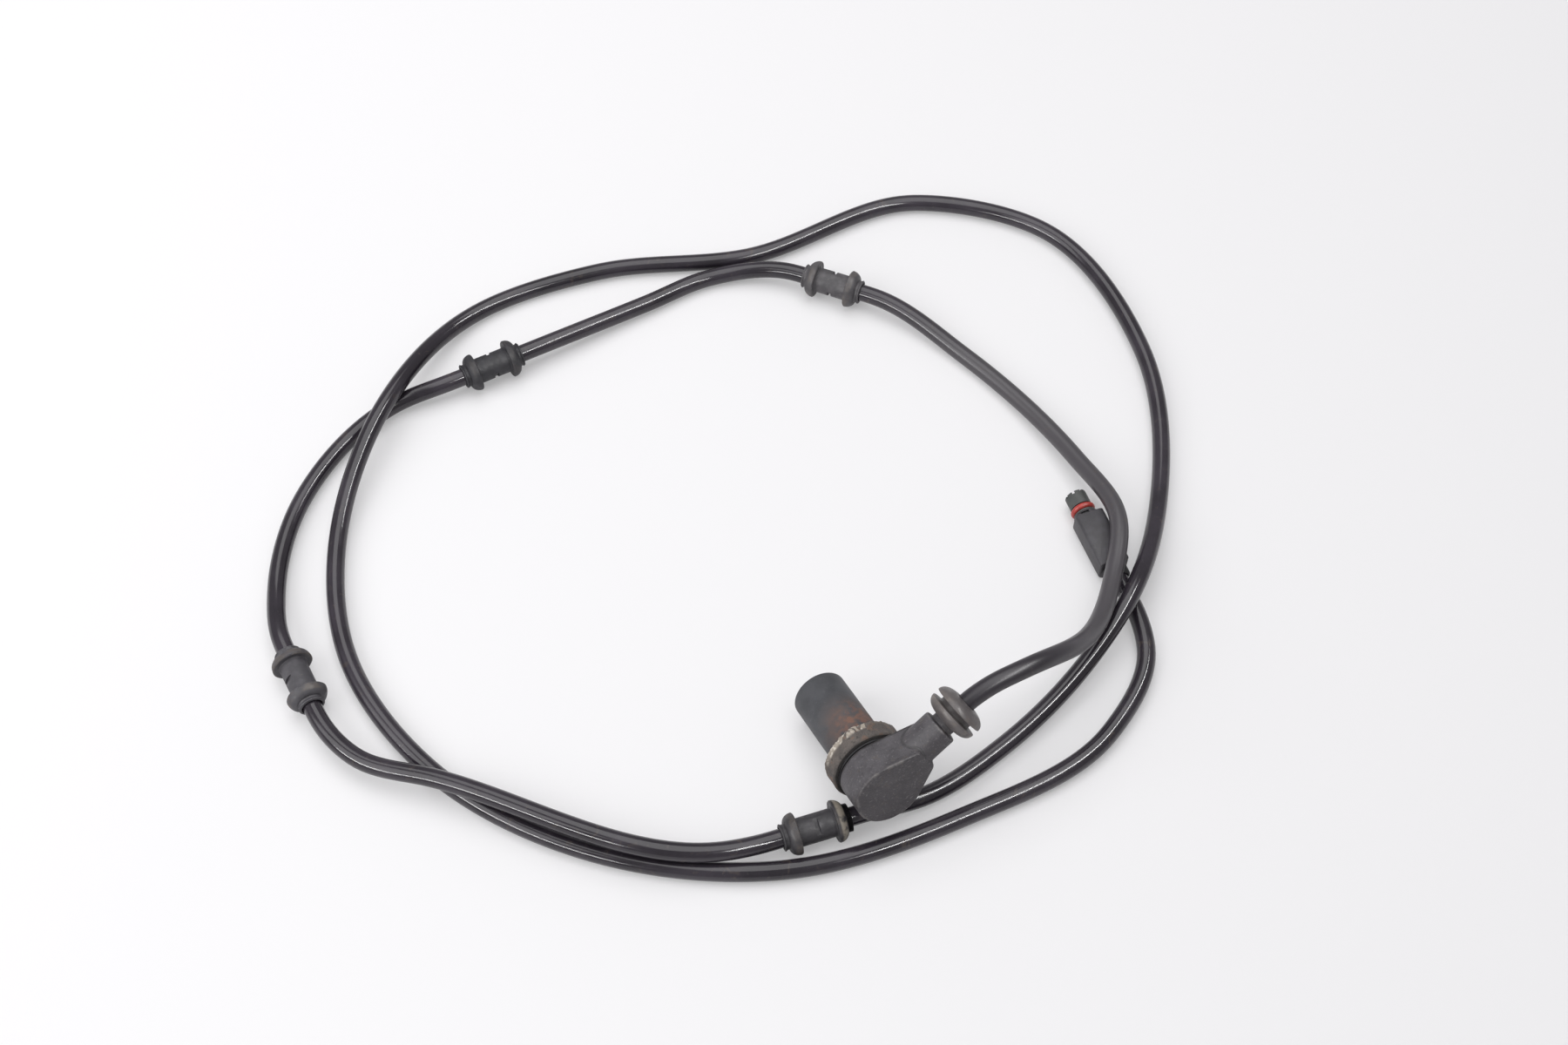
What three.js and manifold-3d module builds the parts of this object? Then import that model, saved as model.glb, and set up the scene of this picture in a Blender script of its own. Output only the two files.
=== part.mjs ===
import * as THREE from "three";
import { mergeVertices } from "three/addons/utils/BufferGeometryUtils.js";
import Module from "manifold-3d";

// A wheel speed sensor with its cable and plug, lying on a surface. Millimetres, +Z up.
// In the head's own frame +Y runs to the barrel's tip and +X out along the cable outlet.

const wasm = await Module();
wasm.setup();

const gap = 0.3;
const clearance = 0.1;
const { degToRad } = THREE.MathUtils;

// Head.
const barrelRadius = 9.0;
const barrelLength = 29.2;
const barrelWall = 0.8;
const barrelRound = 0.8;
const flangeRadius = barrelRadius + 3.9;
const flangeDepth = 7.0;
const flangeRound = 1.2;
const sealDepth = 0.6;
const drumRadius = barrelRadius + 2.5;
const sealRadius = drumRadius - 0.2;
const drumFront = -flangeDepth - sealDepth - 2 * gap;
const drumDepth = 12.0;
const drumRound = 0.8;
const webHalfAngle = degToRad(28);
const webReach = 20.0;
const webBackReach = 15.2;
const webCorner = 1.2;
const spigotReach = 3.3;
const cavityRadius = barrelRadius - 3.0;
const cavityFloor = 2.4;

// Cable outlet.
const outletY = drumFront - 5.8;
const bossRadius = 6.0;
const bossEnd = 25.0;
const neckRadius = 4.05;
const neckEnd = 27.0;
const cableRadius = 3.1;
const cableStart = 15.0;
const boreRadius = cableRadius + gap;

// Inside the barrel.
const pinRadius = 2.4;
const magnetRadius = 4.0;
const magnetLength = 5.7;
const bobbinTubeRadius = 3.6;
const bobbinFlange = 1.2;
const bobbinRadius = barrelRadius - barrelWall - gap - clearance;
const windingRadius = bobbinRadius - 0.6;
const stripWidth = 1.2;
const stripThickness = 0.5;
const stripOffset = cavityRadius - 1.0;
const wireOffset = 1.9;
const crimpStart = 5.8;
const crimpLength = 3.5;
const crimpRadius = 1.15;
const conductorRadius = 0.45;
const insulationRadius = 1.0;

// Pose of the head as it lies.
const headDip = degToRad(-16.5);
const headRoll = degToRad(-28.3);

// Grommets.
const discRadius = 8.9;
const discDepth = 3.4;
const discGroove = 1.95;
const discHub = 6.1;
const discSeat = 0.15;
const spoolRadius = 6.85;
const spoolFlange = 3.0;
const spoolRim = 0.35;
const spoolReach = 7.5;
const spoolBody = 4.65;
const spoolCollar = 4.15;
const spoolLip = 4.45;
const spoolEnd = 11.3;
const slotWidth = 1.5;
const slotDepth = 3.7;

// Plug, measured back along its own +Y axis from the nose's front.
const plugWidth = 10.4;
const plugHeight = 9.6;
const plugEdge = 1.1;
const plugKeel = 2.8;
const plugFront = -10.1;
const plugBack = -31.6;
const plugEnd = -36.0;
const noseRadius = 3.8;
const ringPlace = -6.6;
const ringSection = 1.0;
const ringOuter = 4.4;
const collarFront = -8.8;
const collarRadius = 4.35;
const rearSealRadius = 4.3;
const contactOffset = 1.15;
const contactRadius = 0.45;
const contactTail = 0.7;

// The cable's way along the surface, from where it has left the outlet to the plug.
// A spool grommet sits at each point that has a roll.
const route = [
  { at: [35.5, -12.0, 40.2] },
  { at: [44.0, -12.0, 40.5] },
  { at: [85.5, 3.0, 17.3] },
  { at: [99.0, 16.0, 13.7] },
  { at: [114.5, 37.0, 12.9] },
  { at: [117.0, 67.0, 7.3] },
  { at: [106.5, 127.0, 3.3] },
  { at: [78.0, 176.0, 6.9], roll: -39 },
  { at: [39.5, 202.0, 3.5] },
  { at: [13.5, 201.0, 3.9] },
  { at: [-49.5, 197.5, 6.9], roll: -30 },
  { at: [-86.0, 199.0, 4.2] },
  { at: [-131.5, 173.5, 3.6] },
  { at: [-150.5, 142.0, 4.5] },
  { at: [-154.5, 105.5, 6.9], roll: -30 },
  { at: [-148.0, 70.5, 7.3] },
  { at: [-128.5, 51.5, 9.3] },
  { at: [-55.0, -12.5, 8.2] },
  { at: [-28.7, -16.7, 6.9], roll: -67 },
  { at: [7.5, -21.5, 4.0] },
  { at: [39.5, -17.0, 3.4] },
  { at: [74.5, -5.5, 5.6] },
  { at: [100.0, 7.5, 11.3] },
  { at: [135.0, 41.0, 4.4] },
  { at: [165.5, 99.0, 3.6] },
  { at: [163.0, 167.0, 3.5] },
  { at: [126.5, 200.5, 3.4] },
  { at: [56.5, 205.0, 3.5] },
  { at: [3.5, 223.5, 3.5] },
  { at: [-46.5, 225.0, 3.8] },
  { at: [-91.0, 195.0, 11.1] },
  { at: [-125.5, 152.0, 3.8] },
  { at: [-137.5, 109.0, 3.3] },
  { at: [-128.0, 57.5, 3.3] },
  { at: [-92.5, 7.5, 3.5] },
  { at: [-42.0, -24.0, 3.3] },
  { at: [14.5, -33.0, 3.5] },
  { at: [72.0, -28.5, 3.4] },
  { at: [99.5, -7.0, 3.5] },
  { at: [103.0, 3.0, 4.0] },
];
const plugAt = [109.5, 54.9, 4.9];
const plugHeading = Math.atan2(0.124, 0.992);

const colours = {
  steel: { color: "#3b4147", roughness: 0.55, metalness: 0.6 },
  plate: { color: "#6b5f52", roughness: 0.8, metalness: 0.3 },
  housing: { color: "#4b4849", roughness: 0.7, metalness: 0 },
  rubber: { color: "#3a3835", roughness: 0.85, metalness: 0 },
  jacket: { color: "#262427", roughness: 0.3, metalness: 0 },
  plug: { color: "#38393b", roughness: 0.6, metalness: 0 },
  ring: { color: "#c4453c", roughness: 0.5, metalness: 0 },
  copper: { color: "#a85a2e", roughness: 0.4, metalness: 0.8 },
  tin: { color: "#b5b3ad", roughness: 0.35, metalness: 0.9 },
  iron: { color: "#55565a", roughness: 0.4, metalness: 0.9 },
  magnet: { color: "#8d8f93", roughness: 0.3, metalness: 0.9 },
  bobbin: { color: "#c9c2b0", roughness: 0.6, metalness: 0 },
  leadRed: { color: "#8f2f2b", roughness: 0.5, metalness: 0 },
  leadBlue: { color: "#2f3f6e", roughness: 0.5, metalness: 0 },
};

function signedVolume(geometry) {
  const place = geometry.attributes.position;
  const order = geometry.index.array;
  const [a, b, c] = [new THREE.Vector3(), new THREE.Vector3(), new THREE.Vector3()];
  let total = 0;
  for (let i = 0; i < order.length; i += 3) {
    a.fromBufferAttribute(place, order[i]);
    b.fromBufferAttribute(place, order[i + 1]);
    c.fromBufferAttribute(place, order[i + 2]);
    total += a.dot(b.cross(c));
  }
  return total;
}

// One closed shell whose faces look outward.
function closed(geometry) {
  const bare = geometry.clone();
  bare.deleteAttribute("normal");
  bare.deleteAttribute("uv");
  const shell = mergeVertices(bare, 1e-4);
  const order = shell.index.array;
  const kept = [];
  for (let i = 0; i < order.length; i += 3) {
    const [a, b, c] = [order[i], order[i + 1], order[i + 2]];
    if (a !== b && b !== c && c !== a) kept.push(a, b, c);
  }
  shell.setIndex(kept);
  if (signedVolume(shell) < 0) {
    for (let i = 0; i < kept.length; i += 3) [kept[i], kept[i + 1]] = [kept[i + 1], kept[i]];
    shell.setIndex(kept);
  }
  return shell;
}

function solidOf(geometry) {
  const shell = closed(geometry);
  return new wasm.Manifold(
    new wasm.Mesh({
      numProp: 3,
      vertProperties: Float32Array.from(shell.attributes.position.array),
      triVerts: Uint32Array.from(shell.index.array),
    }),
  );
}

function geometryOf(solid) {
  const cut = solid.getMesh();
  const geometry = new THREE.BufferGeometry();
  geometry.setAttribute("position", new THREE.Float32BufferAttribute(cut.vertProperties, 3));
  geometry.setIndex(Array.from(cut.triVerts));
  return geometry;
}

function arc(radius, along, size, from, to, steps = 3) {
  return Array.from({ length: steps + 1 }, (_, i) => {
    const angle = degToRad(from + ((to - from) * i) / steps);
    return [radius + size * Math.cos(angle), along + size * Math.sin(angle)];
  });
}

// The outline of a cap: full radius at its rim, down to the inner radius at its crown.
function dome(inner, outer, rim, crown, steps = 5) {
  return Array.from({ length: steps + 1 }, (_, i) => {
    const angle = (Math.PI * i) / (2 * steps);
    return [inner + (outer - inner) * Math.cos(angle), rim + (crown - rim) * Math.sin(angle)];
  });
}

// Turned about +Y from points of [radius, place along the axis].
function turned(points, segments = 32) {
  const outline = points.map(([radius, along]) => new THREE.Vector2(radius, along));
  return new THREE.LatheGeometry(outline, segments);
}

function rod(radius, from, to, segments = 24) {
  return turned([[0, from], [radius, from], [radius, to], [0, to]], segments);
}

function sleeve(inner, outer, from, to, segments = 24) {
  return turned([[inner, from], [outer, from], [outer, to], [inner, to], [inner, from]], segments);
}

function block(x, y, z) {
  const sides = [x, y, z].map(([from, to]) => to - from);
  const middle = [x, y, z].map(([from, to]) => (from + to) / 2);
  return new THREE.BoxGeometry(...sides).translate(...middle);
}

function piece(name, geometry, look) {
  const shell = closed(geometry);
  shell.computeVertexNormals();
  const mesh = new THREE.Mesh(shell, new THREE.MeshStandardMaterial(colours[look]));
  mesh.name = name;
  return mesh;
}

function barrel() {
  const { length, inner } = { length: barrelLength, inner: barrelRadius - barrelWall };
  const rear = -flangeDepth - gap - sealDepth;
  const profile = [
    [inner, rear],
    [barrelRadius, rear],
    ...arc(barrelRadius - barrelRound, length - barrelRound, barrelRound, 0, 90),
    [pinRadius + gap, length],
    [pinRadius + gap, length - barrelWall],
    [inner, length - barrelWall],
    [inner, rear],
  ];
  return piece("sensor_barrel", turned(profile, 40), "steel");
}

function flange() {
  const inner = barrelRadius + gap;
  const profile = [
    [inner, -flangeDepth],
    ...arc(flangeRadius - 0.6, 0.6 - flangeDepth, 0.6, -90, 0, 2),
    ...arc(flangeRadius - flangeRound, -flangeRound, flangeRound, 0, 90),
    [inner, 0],
    [inner, -flangeDepth],
  ];
  return piece("stop_flange", turned(profile, 40), "plate");
}

function flangeSeal() {
  const front = -flangeDepth - gap;
  return piece("flange_seal", sleeve(barrelRadius + gap, sealRadius, front - sealDepth, front, 40), "rubber");
}

// The drum with its web towards the outlet, seen along the barrel's axis.
function webOutline() {
  const leave = Math.PI / 2 - webHalfAngle;
  const side = (x) => (drumRadius - x * Math.sin(webHalfAngle)) / Math.cos(webHalfAngle);
  const end = side(webReach) - webCorner;
  const outline = new THREE.Shape();
  outline.absarc(0, 0, drumRadius, leave, 2 * Math.PI - leave, false);
  outline.lineTo(webReach - webCorner, -side(webReach - webCorner));
  outline.quadraticCurveTo(webReach, -side(webReach), webReach, -end);
  outline.lineTo(webReach, end);
  outline.quadraticCurveTo(webReach, side(webReach), webReach - webCorner, side(webReach - webCorner));
  outline.closePath();
  return outline;
}

function housing() {
  const back = drumFront - drumDepth;
  const drum = new THREE.ExtrudeGeometry(webOutline(), {
    depth: drumDepth,
    bevelThickness: drumRound,
    bevelSize: drumRound,
    bevelOffset: -drumRound,
    bevelSegments: 3,
    curveSegments: 20,
  });
  drum.rotateX(Math.PI / 2).translate(0, back + drumRound + drumDepth, 0);
  const spigot = rod(barrelRadius - barrelWall - gap, back + cavityFloor, spigotReach, 40);
  const cavity = rod(cavityRadius, back + cavityFloor, spigotReach + 1, 32);
  const boss = turned([[0, 6], [bossRadius, 6], ...arc(bossRadius - 0.6, bossEnd - 0.6, 0.6, 0, 90, 2), [0, bossEnd]], 32);
  const neck = rod(neckRadius, bossEnd - 1, neckEnd, 32);
  const bore = rod(boreRadius, 3, neckEnd + 1, 24);
  for (const part of [boss, neck, bore]) part.rotateZ(-Math.PI / 2).translate(0, outletY, 0);
  // The web's end leans back from its reach at the front to its reach at the back face.
  const lean = new THREE.Vector2(drumDepth, webBackReach - webReach).normalize();
  const webEnd = { normal: [-lean.x, -lean.y, 0], offset: -lean.x * webReach - lean.y * drumFront };
  const body = solidOf(drum)
    .trimByPlane([0, -1, 0], -drumFront)
    .trimByPlane(webEnd.normal, webEnd.offset)
    .add(solidOf(spigot))
    .add(solidOf(boss))
    .add(solidOf(neck))
    .subtract(solidOf(cavity))
    .subtract(solidOf(bore));
  return piece("sensor_housing", geometryOf(body), "housing");
}

function innerPieces() {
  const cup = spigotReach + gap;
  const magnetBack = cup + 0.4;
  const seat = magnetBack + magnetLength + gap;
  const front = barrelLength - barrelWall - gap;
  const shelf = seat + bobbinFlange;
  const cheek = front - bobbinFlange;
  const bobbin = [
    [pinRadius + gap, seat],
    [magnetRadius + gap, seat],
    [magnetRadius + gap, cup],
    [bobbinRadius, cup],
    [bobbinRadius, shelf],
    [bobbinTubeRadius, shelf],
    [bobbinTubeRadius, cheek],
    [bobbinRadius, cheek],
    [bobbinRadius, front],
    [pinRadius + gap, front],
    [pinRadius + gap, seat],
  ];
  return [
    piece("pole_pin", rod(pinRadius, seat, barrelLength), "iron"),
    piece("magnet", rod(magnetRadius, magnetBack, magnetBack + magnetLength), "magnet"),
    piece("coil_bobbin", turned(bobbin), "bobbin"),
    piece("coil_winding", sleeve(bobbinTubeRadius + gap, windingRadius, shelf + gap, cheek - gap, 32), "copper"),
  ];
}

// A strip runs back from the bobbin, turns in to the wire's height and out to its crimp.
function terminal(name, side) {
  const half = stripThickness / 2;
  const back = [outletY - half, outletY + half];
  const across = (from, to) => [Math.min(side * from, side * to), Math.max(side * from, side * to)];
  const leg = block([-half, half], [back[0], spigotReach], across(stripOffset - 0.6, stripOffset + 0.6));
  const turn = block([-half, stripWidth], back, across(wireOffset - 0.6, stripOffset + 0.6));
  const foot = block([-half, crimpStart - gap], back, across(wireOffset - 0.6, wireOffset + 0.6));
  const strip = solidOf(leg).add(solidOf(turn)).add(solidOf(foot));
  return piece(name, geometryOf(strip), "tin");
}

// Everything on the outlet's own axis; its group turns +Y out along the outlet.
function outletPieces() {
  const crimpEnd = crimpStart + crimpLength;
  const cover = crimpEnd + gap;
  const lead = [
    [0, crimpStart + 0.4],
    [conductorRadius, crimpStart + 0.4],
    [conductorRadius, cover],
    [insulationRadius, cover],
    [insulationRadius, cableStart - gap],
    [0, cableStart - gap],
  ];
  const outlet = new THREE.Group();
  for (const [letter, side, look] of [["a", 1, "leadRed"], ["b", -1, "leadBlue"]]) {
    const crimp = piece(
      `crimp_${letter}`,
      sleeve(conductorRadius + gap, crimpRadius, crimpStart, crimpEnd, 12),
      "tin",
    );
    const wire = piece(`lead_wire_${letter}`, turned(lead, 12), look);
    crimp.position.z = side * wireOffset;
    wire.position.z = side * wireOffset;
    outlet.add(crimp, wire);
  }
  const near = neckEnd - discSeat;
  const wall = near + discDepth;
  const far = wall + discGroove;
  const disc = [
    [boreRadius, neckEnd + gap],
    [neckRadius + gap, neckEnd + gap],
    [neckRadius + gap, near],
    ...dome(neckRadius + 2 * gap, discRadius, wall, near).reverse(),
    [discHub, wall],
    [discHub, far],
    ...dome(boreRadius + gap, discRadius, far, far + discDepth),
    [boreRadius, far + discDepth],
    [boreRadius, neckEnd + gap],
  ];
  outlet.add(piece("bracket_grommet", turned(disc, 36), "rubber"));
  outlet.position.set(0, outletY, 0);
  outlet.rotation.z = -Math.PI / 2;
  return outlet;
}

function spoolGrommet(name) {
  const [near, far] = [spoolReach - spoolFlange / 2, spoolReach + spoolFlange / 2];
  const half = [
    [spoolBody, near],
    [spoolRadius - spoolRim, near],
    ...dome(spoolCollar, spoolRadius, near + spoolRim, far + spoolRim, 4),
    [spoolCollar, spoolEnd - 1],
    [spoolLip, spoolEnd - 0.7],
    [spoolLip, spoolEnd],
    [boreRadius, spoolEnd],
  ];
  const mirrored = half.map(([radius, along]) => [radius, -along]).reverse();
  const spool = turned([...mirrored, ...half, mirrored[0]], 20);
  const lip = slotWidth / 2;
  const slots = [-1, 1].map((side) => {
    const reach = [side * slotDepth, side * (spoolBody + 1)].sort((a, b) => a - b);
    return solidOf(block(reach, [-lip, lip], [-spoolBody, spoolBody]));
  });
  const body = solidOf(spool).subtract(slots[0]).subtract(slots[1]);
  return piece(name, geometryOf(body), "rubber");
}

// The flat way that the cable takes through a route point.
function heading(index) {
  const before = new THREE.Vector3(...route[index - 1].at);
  return new THREE.Vector3(...route[index + 1].at).sub(before).setZ(0).normalize();
}

function cableGrommets() {
  const places = route.map((stop, index) => ({ ...stop, index })).filter((stop) => "roll" in stop);
  return places.map((stop, count) => {
    const spool = spoolGrommet(`cable_grommet_${count + 1}`);
    const way = heading(stop.index);
    spool.rotation.set(0, degToRad(stop.roll), Math.atan2(-way.x, way.y), "ZYX");
    spool.position.set(...stop.at);
    return spool;
  });
}

// Each stretch between two points is cut in even steps, more of them where it bends,
// and no point lies lower than the cable can on the surface.
class StretchedPath extends THREE.Curve {
  constructor(curve, stretches, looseness, lowest) {
    super();
    this.curve = curve;
    this.lowest = lowest;
    this.marks = [0];
    const [from, to] = [new THREE.Vector3(), new THREE.Vector3()];
    for (let i = 0; i < stretches; i += 1) {
      const [start, end] = [i / stretches, (i + 1) / stretches];
      const length = curve.getPoint(start, from).distanceTo(curve.getPoint(end, to));
      const turn = curve.getTangent(start, from).angleTo(curve.getTangent(end, to));
      const steps = Math.max(1, Math.round(Math.sqrt((length * turn) / (8 * looseness))));
      for (let k = 1; k <= steps; k += 1) this.marks.push(start + ((end - start) * k) / steps);
    }
  }
  getUtoTmapping(u) {
    return u;
  }
  getPoint(t, target) {
    const place = t * (this.marks.length - 1);
    const i = Math.min(Math.floor(place), this.marks.length - 2);
    const point = this.curve.getPoint(THREE.MathUtils.lerp(this.marks[i], this.marks[i + 1], place - i), target);
    point.z = Math.max(point.z, this.lowest);
    return point;
  }
}

function cable(exit, plug) {
  const points = [cableStart, bossEnd, 30, 36].map((x) => exit.localToWorld(new THREE.Vector3(0, x, 0)));
  route.forEach((stop, index) => {
    const here = new THREE.Vector3(...stop.at);
    if ("roll" in stop) {
      for (const along of [-15.5, -12, 12, 15.5]) {
        points.push(here.clone().addScaledVector(heading(index), along));
      }
    } else {
      points.push(here);
    }
  });
  for (const y of [plugEnd - 4, plugEnd - 1, plugBack + 1]) points.push(plug.localToWorld(new THREE.Vector3(0, y, 0)));
  const curve = new THREE.CatmullRomCurve3(points, false, "chordal");
  const path = new StretchedPath(curve, points.length - 1, 0.6, cableRadius + clearance);
  const section = new THREE.Shape();
  for (let i = 0; i < 10; i += 1) {
    const angle = (2 * Math.PI * i) / 10;
    const corner = [cableRadius * Math.cos(angle), cableRadius * Math.sin(angle)];
    if (i === 0) section.moveTo(...corner);
    else section.lineTo(...corner);
  }
  const steps = path.marks.length - 1;
  return piece("cable", new THREE.ExtrudeGeometry(section, { steps, extrudePath: path }), "jacket");
}

function plugBody() {
  const [x, z] = [plugWidth / 2, plugHeight / 2];
  const section = new THREE.Shape();
  section.moveTo(x, plugKeel - z);
  for (const [cx, cz] of [[x, z - plugEdge], [x - plugEdge, z], [plugEdge - x, z], [-x, z - plugEdge]]) {
    section.lineTo(cx, cz);
  }
  for (const [cx, cz] of [[-x, plugKeel - z], [plugKeel - x, -z], [x - plugKeel, -z]]) {
    section.lineTo(cx, cz);
  }
  section.closePath();
  const shell = new THREE.ExtrudeGeometry(section, {
    depth: plugFront - plugBack - 1,
    bevelThickness: 0.5,
    bevelSize: 0.5,
    bevelOffset: -0.5,
    bevelSegments: 1,
  });
  shell.rotateX(Math.PI / 2).translate(0, plugFront - 0.5, 0);
  const collar = rod(collarRadius, plugFront - 1, collarFront, 28);
  const bore = rod(boreRadius, plugBack - 1, collarFront + 1, 24);
  const body = solidOf(shell).add(solidOf(collar)).subtract(solidOf(bore));
  return piece("plug_body", geometryOf(body), "plug");
}

function plugInsert() {
  const reach = ringSection + gap;
  const groove = ringOuter - 2 * ringSection - gap;
  const stem = [
    [0, plugBack + 9],
    [cableRadius, plugBack + 9],
    [cableRadius, collarFront + gap],
    [noseRadius, collarFront + gap],
    [noseRadius, ringPlace - reach],
    [groove, ringPlace - reach],
    [groove, ringPlace + reach],
    [noseRadius, ringPlace + reach],
    [noseRadius, -0.4],
    [noseRadius - 0.4, 0],
    [noseRadius - 1.2, 0],
    [noseRadius - 1.2, -0.7],
    [0, -0.7],
  ];
  let body = solidOf(turned(stem, 28));
  for (const side of [-1, 1]) {
    const hole = rod(contactRadius + gap, plugBack, 1, 12).translate(side * contactOffset, 0, 0);
    body = body.subtract(solidOf(hole));
  }
  for (let i = 0; i < 4; i += 1) {
    const notch = block([-noseRadius - 1, noseRadius + 1], [-0.7, 1], [-0.4, 0.4]);
    notch.rotateY((Math.PI * (i + 0.5)) / 4);
    body = body.subtract(solidOf(notch));
  }
  return piece("plug_insert", geometryOf(body), "plug");
}

function plugContact(name, side) {
  const tail = plugBack + 8.6;
  const pin = [
    [0, plugBack + 2],
    [contactTail, plugBack + 2],
    [contactTail, tail],
    [contactRadius, tail],
    [contactRadius, -2],
    [0, -1.6],
  ];
  const contact = piece(name, turned(pin, 12), "tin");
  contact.position.x = side * contactOffset;
  return contact;
}

function plugPieces() {
  const plug = new THREE.Group();
  const ring = arc(ringOuter - ringSection, ringPlace, ringSection, 0, 360, 10);
  const rib = 0.45;
  const back = plugBack - gap;
  const seal = [
    [boreRadius, plugEnd],
    [rearSealRadius - rib, plugEnd],
    [rearSealRadius, plugEnd + rib],
    [rearSealRadius, back],
    [boreRadius, back],
    [boreRadius, plugEnd],
  ];
  plug.add(
    plugBody(),
    plugInsert(),
    piece("plug_seal_ring", turned(ring, 28), "ring"),
    plugContact("plug_contact_a", 1),
    plugContact("plug_contact_b", -1),
    piece("plug_rear_seal", turned(seal, 28), "rubber"),
  );
  plug.position.set(...plugAt);
  plug.rotation.z = -plugHeading;
  return plug;
}

const head = new THREE.Group();
const outlet = outletPieces();
const onCable = outlet.getObjectByName("bracket_grommet");
head.rotation.set(headDip, headRoll, 0);
head.add(barrel(), flange(), flangeSeal(), housing(), ...innerPieces(), outlet);
head.add(terminal("terminal_a", 1), terminal("terminal_b", -1));

// The origin is under the middle of the head, with the grommet on the cable left out.
outlet.remove(onCable);
head.updateMatrixWorld(true);
const box = new THREE.Box3().setFromObject(head, true);
const middle = box.getCenter(new THREE.Vector3());
head.position.set(-middle.x, -middle.y, -box.min.z);
outlet.add(onCable);

const plug = plugPieces();
const sensor = new THREE.Group();
sensor.name = "wheel_speed_sensor";
sensor.add(head, plug, ...cableGrommets());
sensor.updateMatrixWorld(true);
sensor.add(cable(outlet, plug));

export default sensor;
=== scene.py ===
import math

import bmesh
import bpy
import numpy as np
from mathutils import Matrix, Vector, noise


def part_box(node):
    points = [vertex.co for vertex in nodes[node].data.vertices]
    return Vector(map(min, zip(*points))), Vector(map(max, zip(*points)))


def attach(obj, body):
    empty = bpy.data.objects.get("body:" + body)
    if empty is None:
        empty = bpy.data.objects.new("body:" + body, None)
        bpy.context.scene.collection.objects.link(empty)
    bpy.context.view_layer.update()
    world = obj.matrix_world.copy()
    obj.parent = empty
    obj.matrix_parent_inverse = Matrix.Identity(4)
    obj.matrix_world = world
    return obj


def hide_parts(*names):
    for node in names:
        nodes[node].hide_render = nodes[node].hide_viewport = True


# Lengths are in millimetres up to the mesh, which is in metres.
mm = 0.001

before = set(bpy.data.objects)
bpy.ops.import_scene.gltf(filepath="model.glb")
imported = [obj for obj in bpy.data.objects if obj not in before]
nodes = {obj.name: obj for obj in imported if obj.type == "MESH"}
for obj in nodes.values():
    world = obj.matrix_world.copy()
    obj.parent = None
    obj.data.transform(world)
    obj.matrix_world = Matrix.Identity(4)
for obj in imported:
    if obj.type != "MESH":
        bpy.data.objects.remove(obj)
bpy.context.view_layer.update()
scene = bpy.context.scene

# Angles in degrees: down from level, and clockwise from +Y.
camera = {
    "place": (-156.8, -248.6, 578.8),
    "pitch": 56.5,
    "azimuth": 26.8,
    "sensor": 36.0,
    "lens": 46.0,
    "clipEnd": 20.0,
}


def addCamera():
    data = bpy.data.cameras.new("camera")
    data.sensor_width = camera["sensor"]
    data.lens = camera["lens"]
    data.clip_end = camera["clipEnd"]
    view = bpy.data.objects.new("camera", data)
    view.location = Vector(camera["place"]) * mm
    view.rotation_euler = (math.radians(90 - camera["pitch"]), 0, -math.radians(camera["azimuth"]))
    scene.collection.objects.link(view)
    scene.camera = view


# Shaders.
def linear(code):
    parts = [int(code[i : i + 2], 16) / 255 for i in (1, 3, 5)]
    return [c / 12.92 if c <= 0.04045 else ((c + 0.055) / 1.055) ** 2.4 for c in parts] + [1.0]


# Inputs are sockets, numbers or colours as sRGB hex values.
def addNode(tree, kind, inputs=None, **settings):
    node = tree.nodes.new(kind)
    for name, value in settings.items():
        setattr(node, name, value)
    for key, value in (inputs or {}).items():
        if isinstance(value, bpy.types.NodeSocket):
            tree.links.new(value, node.inputs[key])
        else:
            node.inputs[key].default_value = linear(value) if isinstance(value, str) else value
    return node


def newMaterial(name, colour, roughness, **values):
    material = bpy.data.materials.new(name)
    material.use_nodes = True
    tree = material.node_tree
    shader = tree.nodes["Principled BSDF"]
    shader.inputs["Base Color"].default_value = linear(colour)
    shader.inputs["Roughness"].default_value = roughness
    for key, value in values.items():
        shader.inputs[key].default_value = value
    return material, tree, shader


# Each piece keeps the coordinates of its own frame, in metres, in the attribute "place".
def coordinates(tree):
    return addNode(tree, "ShaderNodeAttribute", attribute_name="place").outputs["Vector"]


def span(value, low, high, bottom=0.0, top=1.0):
    return {"Value": value, "From Min": low, "From Max": high, "To Min": bottom, "To Max": top}


# A mask of blotches about size millimetres across: 0 where the noise is below low, 1 above high.
def speckle(tree, place, size, low, high, detail=4.0, distortion=0.0):
    pattern = addNode(
        tree,
        "ShaderNodeTexNoise",
        {"Vector": place, "Scale": 1 / (size * mm), "Detail": detail, "Distortion": distortion},
    )
    limits = span(pattern.outputs["Fac"], low, high)
    return addNode(tree, "ShaderNodeMapRange", limits, interpolation_type="SMOOTHSTEP").outputs["Result"]


# A mask that rises from start to full, in millimetres along the piece's own Y.
def alongFade(tree, place, start, full):
    along = addNode(tree, "ShaderNodeSeparateXYZ", {0: place}).outputs["Y"]
    limits = span(along, start * mm, full * mm)
    return addNode(tree, "ShaderNodeMapRange", limits, interpolation_type="SMOOTHSTEP").outputs["Result"]


# A mask that rises from start to full, in millimetres away from the piece's own Y axis.
def radialFade(tree, place, start, full):
    apart = addNode(tree, "ShaderNodeVectorMath", {0: place, 1: (1, 0, 1)}, operation="MULTIPLY")
    reach = addNode(tree, "ShaderNodeVectorMath", {0: apart.outputs[0]}, operation="LENGTH")
    limits = span(reach.outputs["Value"], start * mm, full * mm)
    return addNode(tree, "ShaderNodeMapRange", limits, interpolation_type="SMOOTHSTEP").outputs["Result"]


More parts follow.
